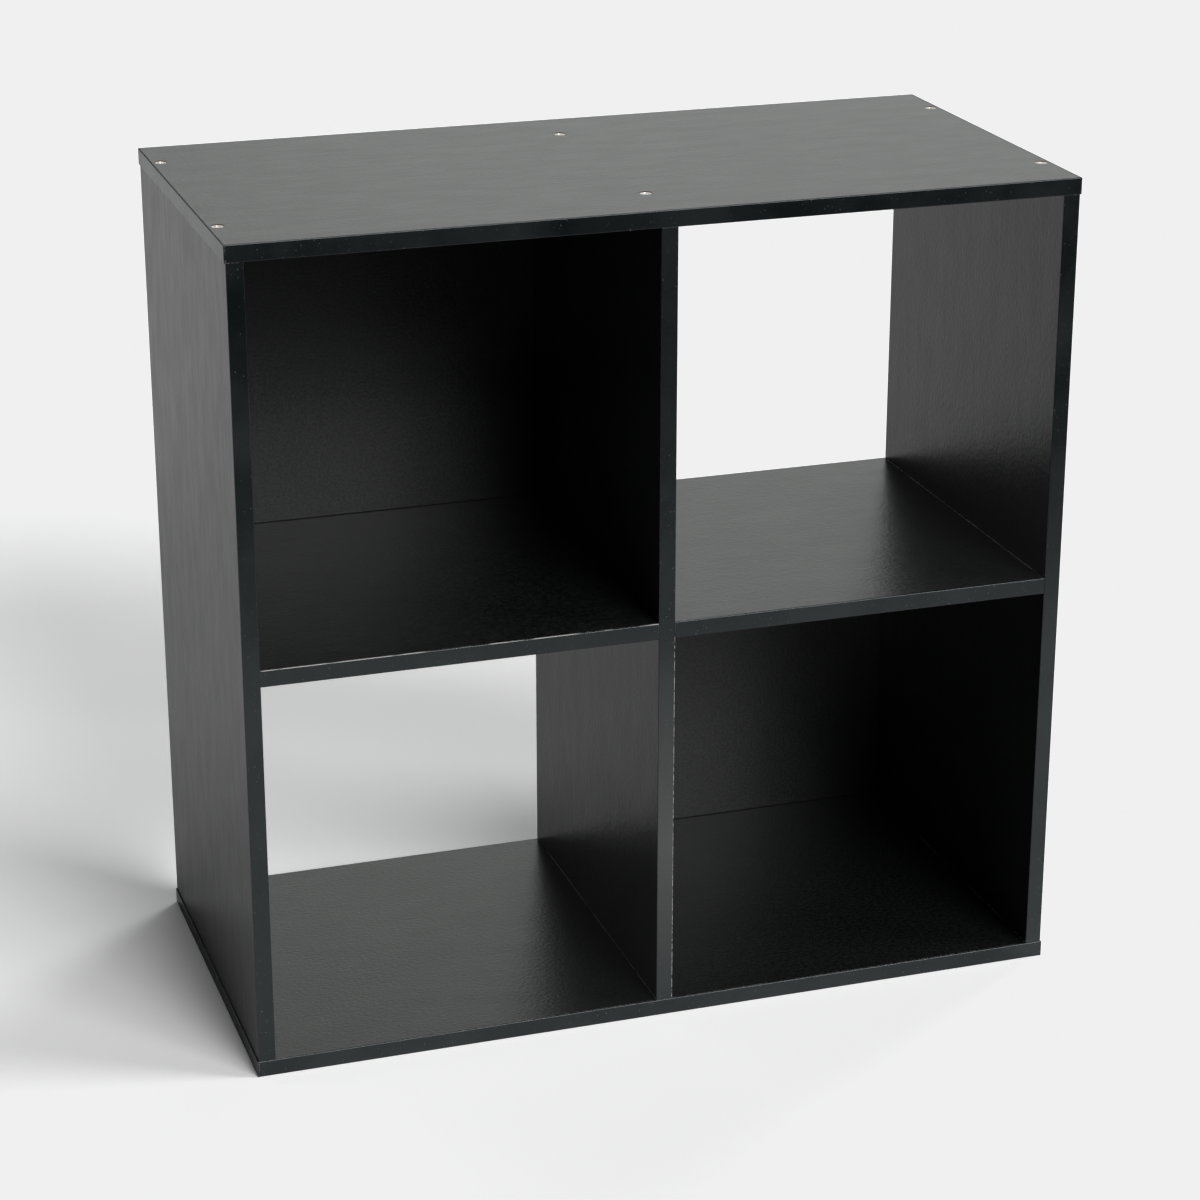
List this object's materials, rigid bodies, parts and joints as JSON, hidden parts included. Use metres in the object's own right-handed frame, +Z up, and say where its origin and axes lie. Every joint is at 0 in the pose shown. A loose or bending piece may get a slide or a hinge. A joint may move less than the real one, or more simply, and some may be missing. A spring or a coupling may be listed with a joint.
{
  "type": "cube storage unit",
  "caption": "Free-standing black cube shelving unit, two cubes wide and two high, with backs on one diagonal pair and the other pair open through.",
  "frame": {"origin": "on the floor, under the middle of the whole unit", "axes": "+X to the right seen from the front, +Y from the front to the back, +Z up"},
  "size_m": [0.604, 0.2988, 0.6],
  "materials": {
    "laminated_board": "black melamine-faced particleboard, satin, fine orange-peel texture",
    "edge_band": "smooth blue-black plastic edge band, satin",
    "back_board": "thin hardboard with a satin black face",
    "zinc_steel": "bright zinc plating",
    "beech": "plain turned beech"
  },
  "bodies": {
    "root": {"bottom_centre_front_screw": "zinc_steel", "bottom_centre_rear_screw": "zinc_steel", "bottom_front_band": "edge_band", "bottom_left_end_band": "edge_band", "bottom_left_front_screw": "zinc_steel", "bottom_left_rear_screw": "zinc_steel", "bottom_panel": "laminated_board", "bottom_right_end_band": "edge_band", "bottom_right_front_screw": "zinc_steel", "bottom_right_rear_screw": "zinc_steel", "centre_divider": "laminated_board", "centre_front_shelf_dowel": "beech", "centre_rear_shelf_dowel": "beech", "divider_front_band": "edge_band", "left_front_shelf_dowel": "beech", "left_rear_shelf_dowel": "beech", "left_shelf": "laminated_board", "left_shelf_front_band": "edge_band", "left_side_front_band": "edge_band", "left_side_panel": "laminated_board", "lower_right_back_panel": "back_board", "lower_right_back_pin_bottom_left": "zinc_steel", "lower_right_back_pin_bottom_right": "zinc_steel", "lower_right_back_pin_left_high": "zinc_steel", "lower_right_back_pin_left_low": "zinc_steel", "lower_right_back_pin_right_high": "zinc_steel", "lower_right_back_pin_right_low": "zinc_steel", "lower_right_back_pin_top_left": "zinc_steel", "lower_right_back_pin_top_right": "zinc_steel", "right_front_shelf_dowel": "beech", "right_rear_shelf_dowel": "beech", "right_shelf": "laminated_board", "right_shelf_front_band": "edge_band", "right_side_front_band": "edge_band", "right_side_panel": "laminated_board", "top_centre_front_screw": "zinc_steel", "top_centre_rear_screw": "zinc_steel", "top_front_band": "edge_band", "top_left_end_band": "edge_band", "top_left_front_screw": "zinc_steel", "top_left_rear_screw": "zinc_steel", "top_panel": "laminated_board", "top_right_end_band": "edge_band", "top_right_front_screw": "zinc_steel", "top_right_rear_screw": "zinc_steel", "upper_left_back_panel": "back_board", "upper_left_back_pin_bottom_left": "zinc_steel", "upper_left_back_pin_bottom_right": "zinc_steel", "upper_left_back_pin_left_high": "zinc_steel", "upper_left_back_pin_left_low": "zinc_steel", "upper_left_back_pin_right_high": "zinc_steel", "upper_left_back_pin_right_low": "zinc_steel", "upper_left_back_pin_top_left": "zinc_steel", "upper_left_back_pin_top_right": "zinc_steel"}
  },
  "joints": []
}
